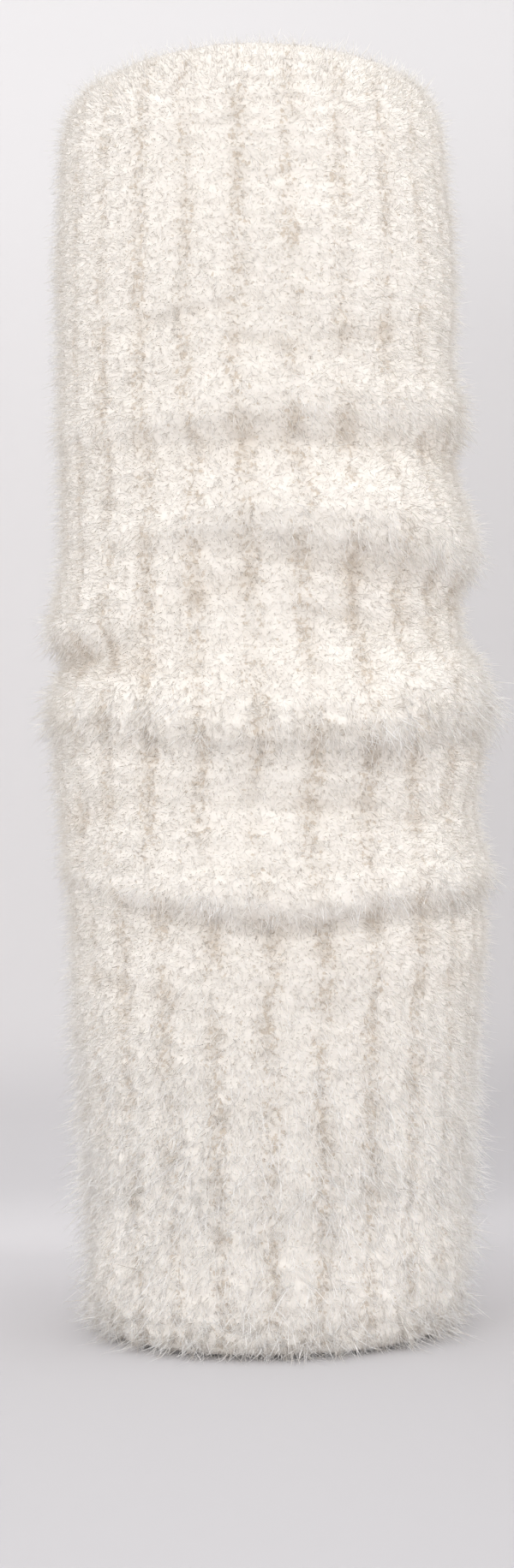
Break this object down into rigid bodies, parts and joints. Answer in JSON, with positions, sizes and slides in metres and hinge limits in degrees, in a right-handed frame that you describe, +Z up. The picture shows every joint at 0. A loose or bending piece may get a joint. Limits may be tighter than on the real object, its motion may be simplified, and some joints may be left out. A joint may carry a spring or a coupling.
{
  "type": "leg warmer",
  "caption": "Fuzzy ribbed eyelash-knit leg warmer: a soft tube open at both ends that slouches into folds over its middle and warms the lower leg.",
  "frame": {"origin": "middle of the bounding box of the garment, on the plane of the lower hem", "axes": "+Z up along the leg from the lower hem to the top edge, -Y is the front, -X the garment's left as seen from the front"},
  "size_m": [0.136, 0.1364, 0.3652],
  "materials": {
    "eyelash_yarn": "matte"
  },
  "bodies": {
    "root": {"leg_tube": "eyelash_yarn"}
  },
  "joints": []
}
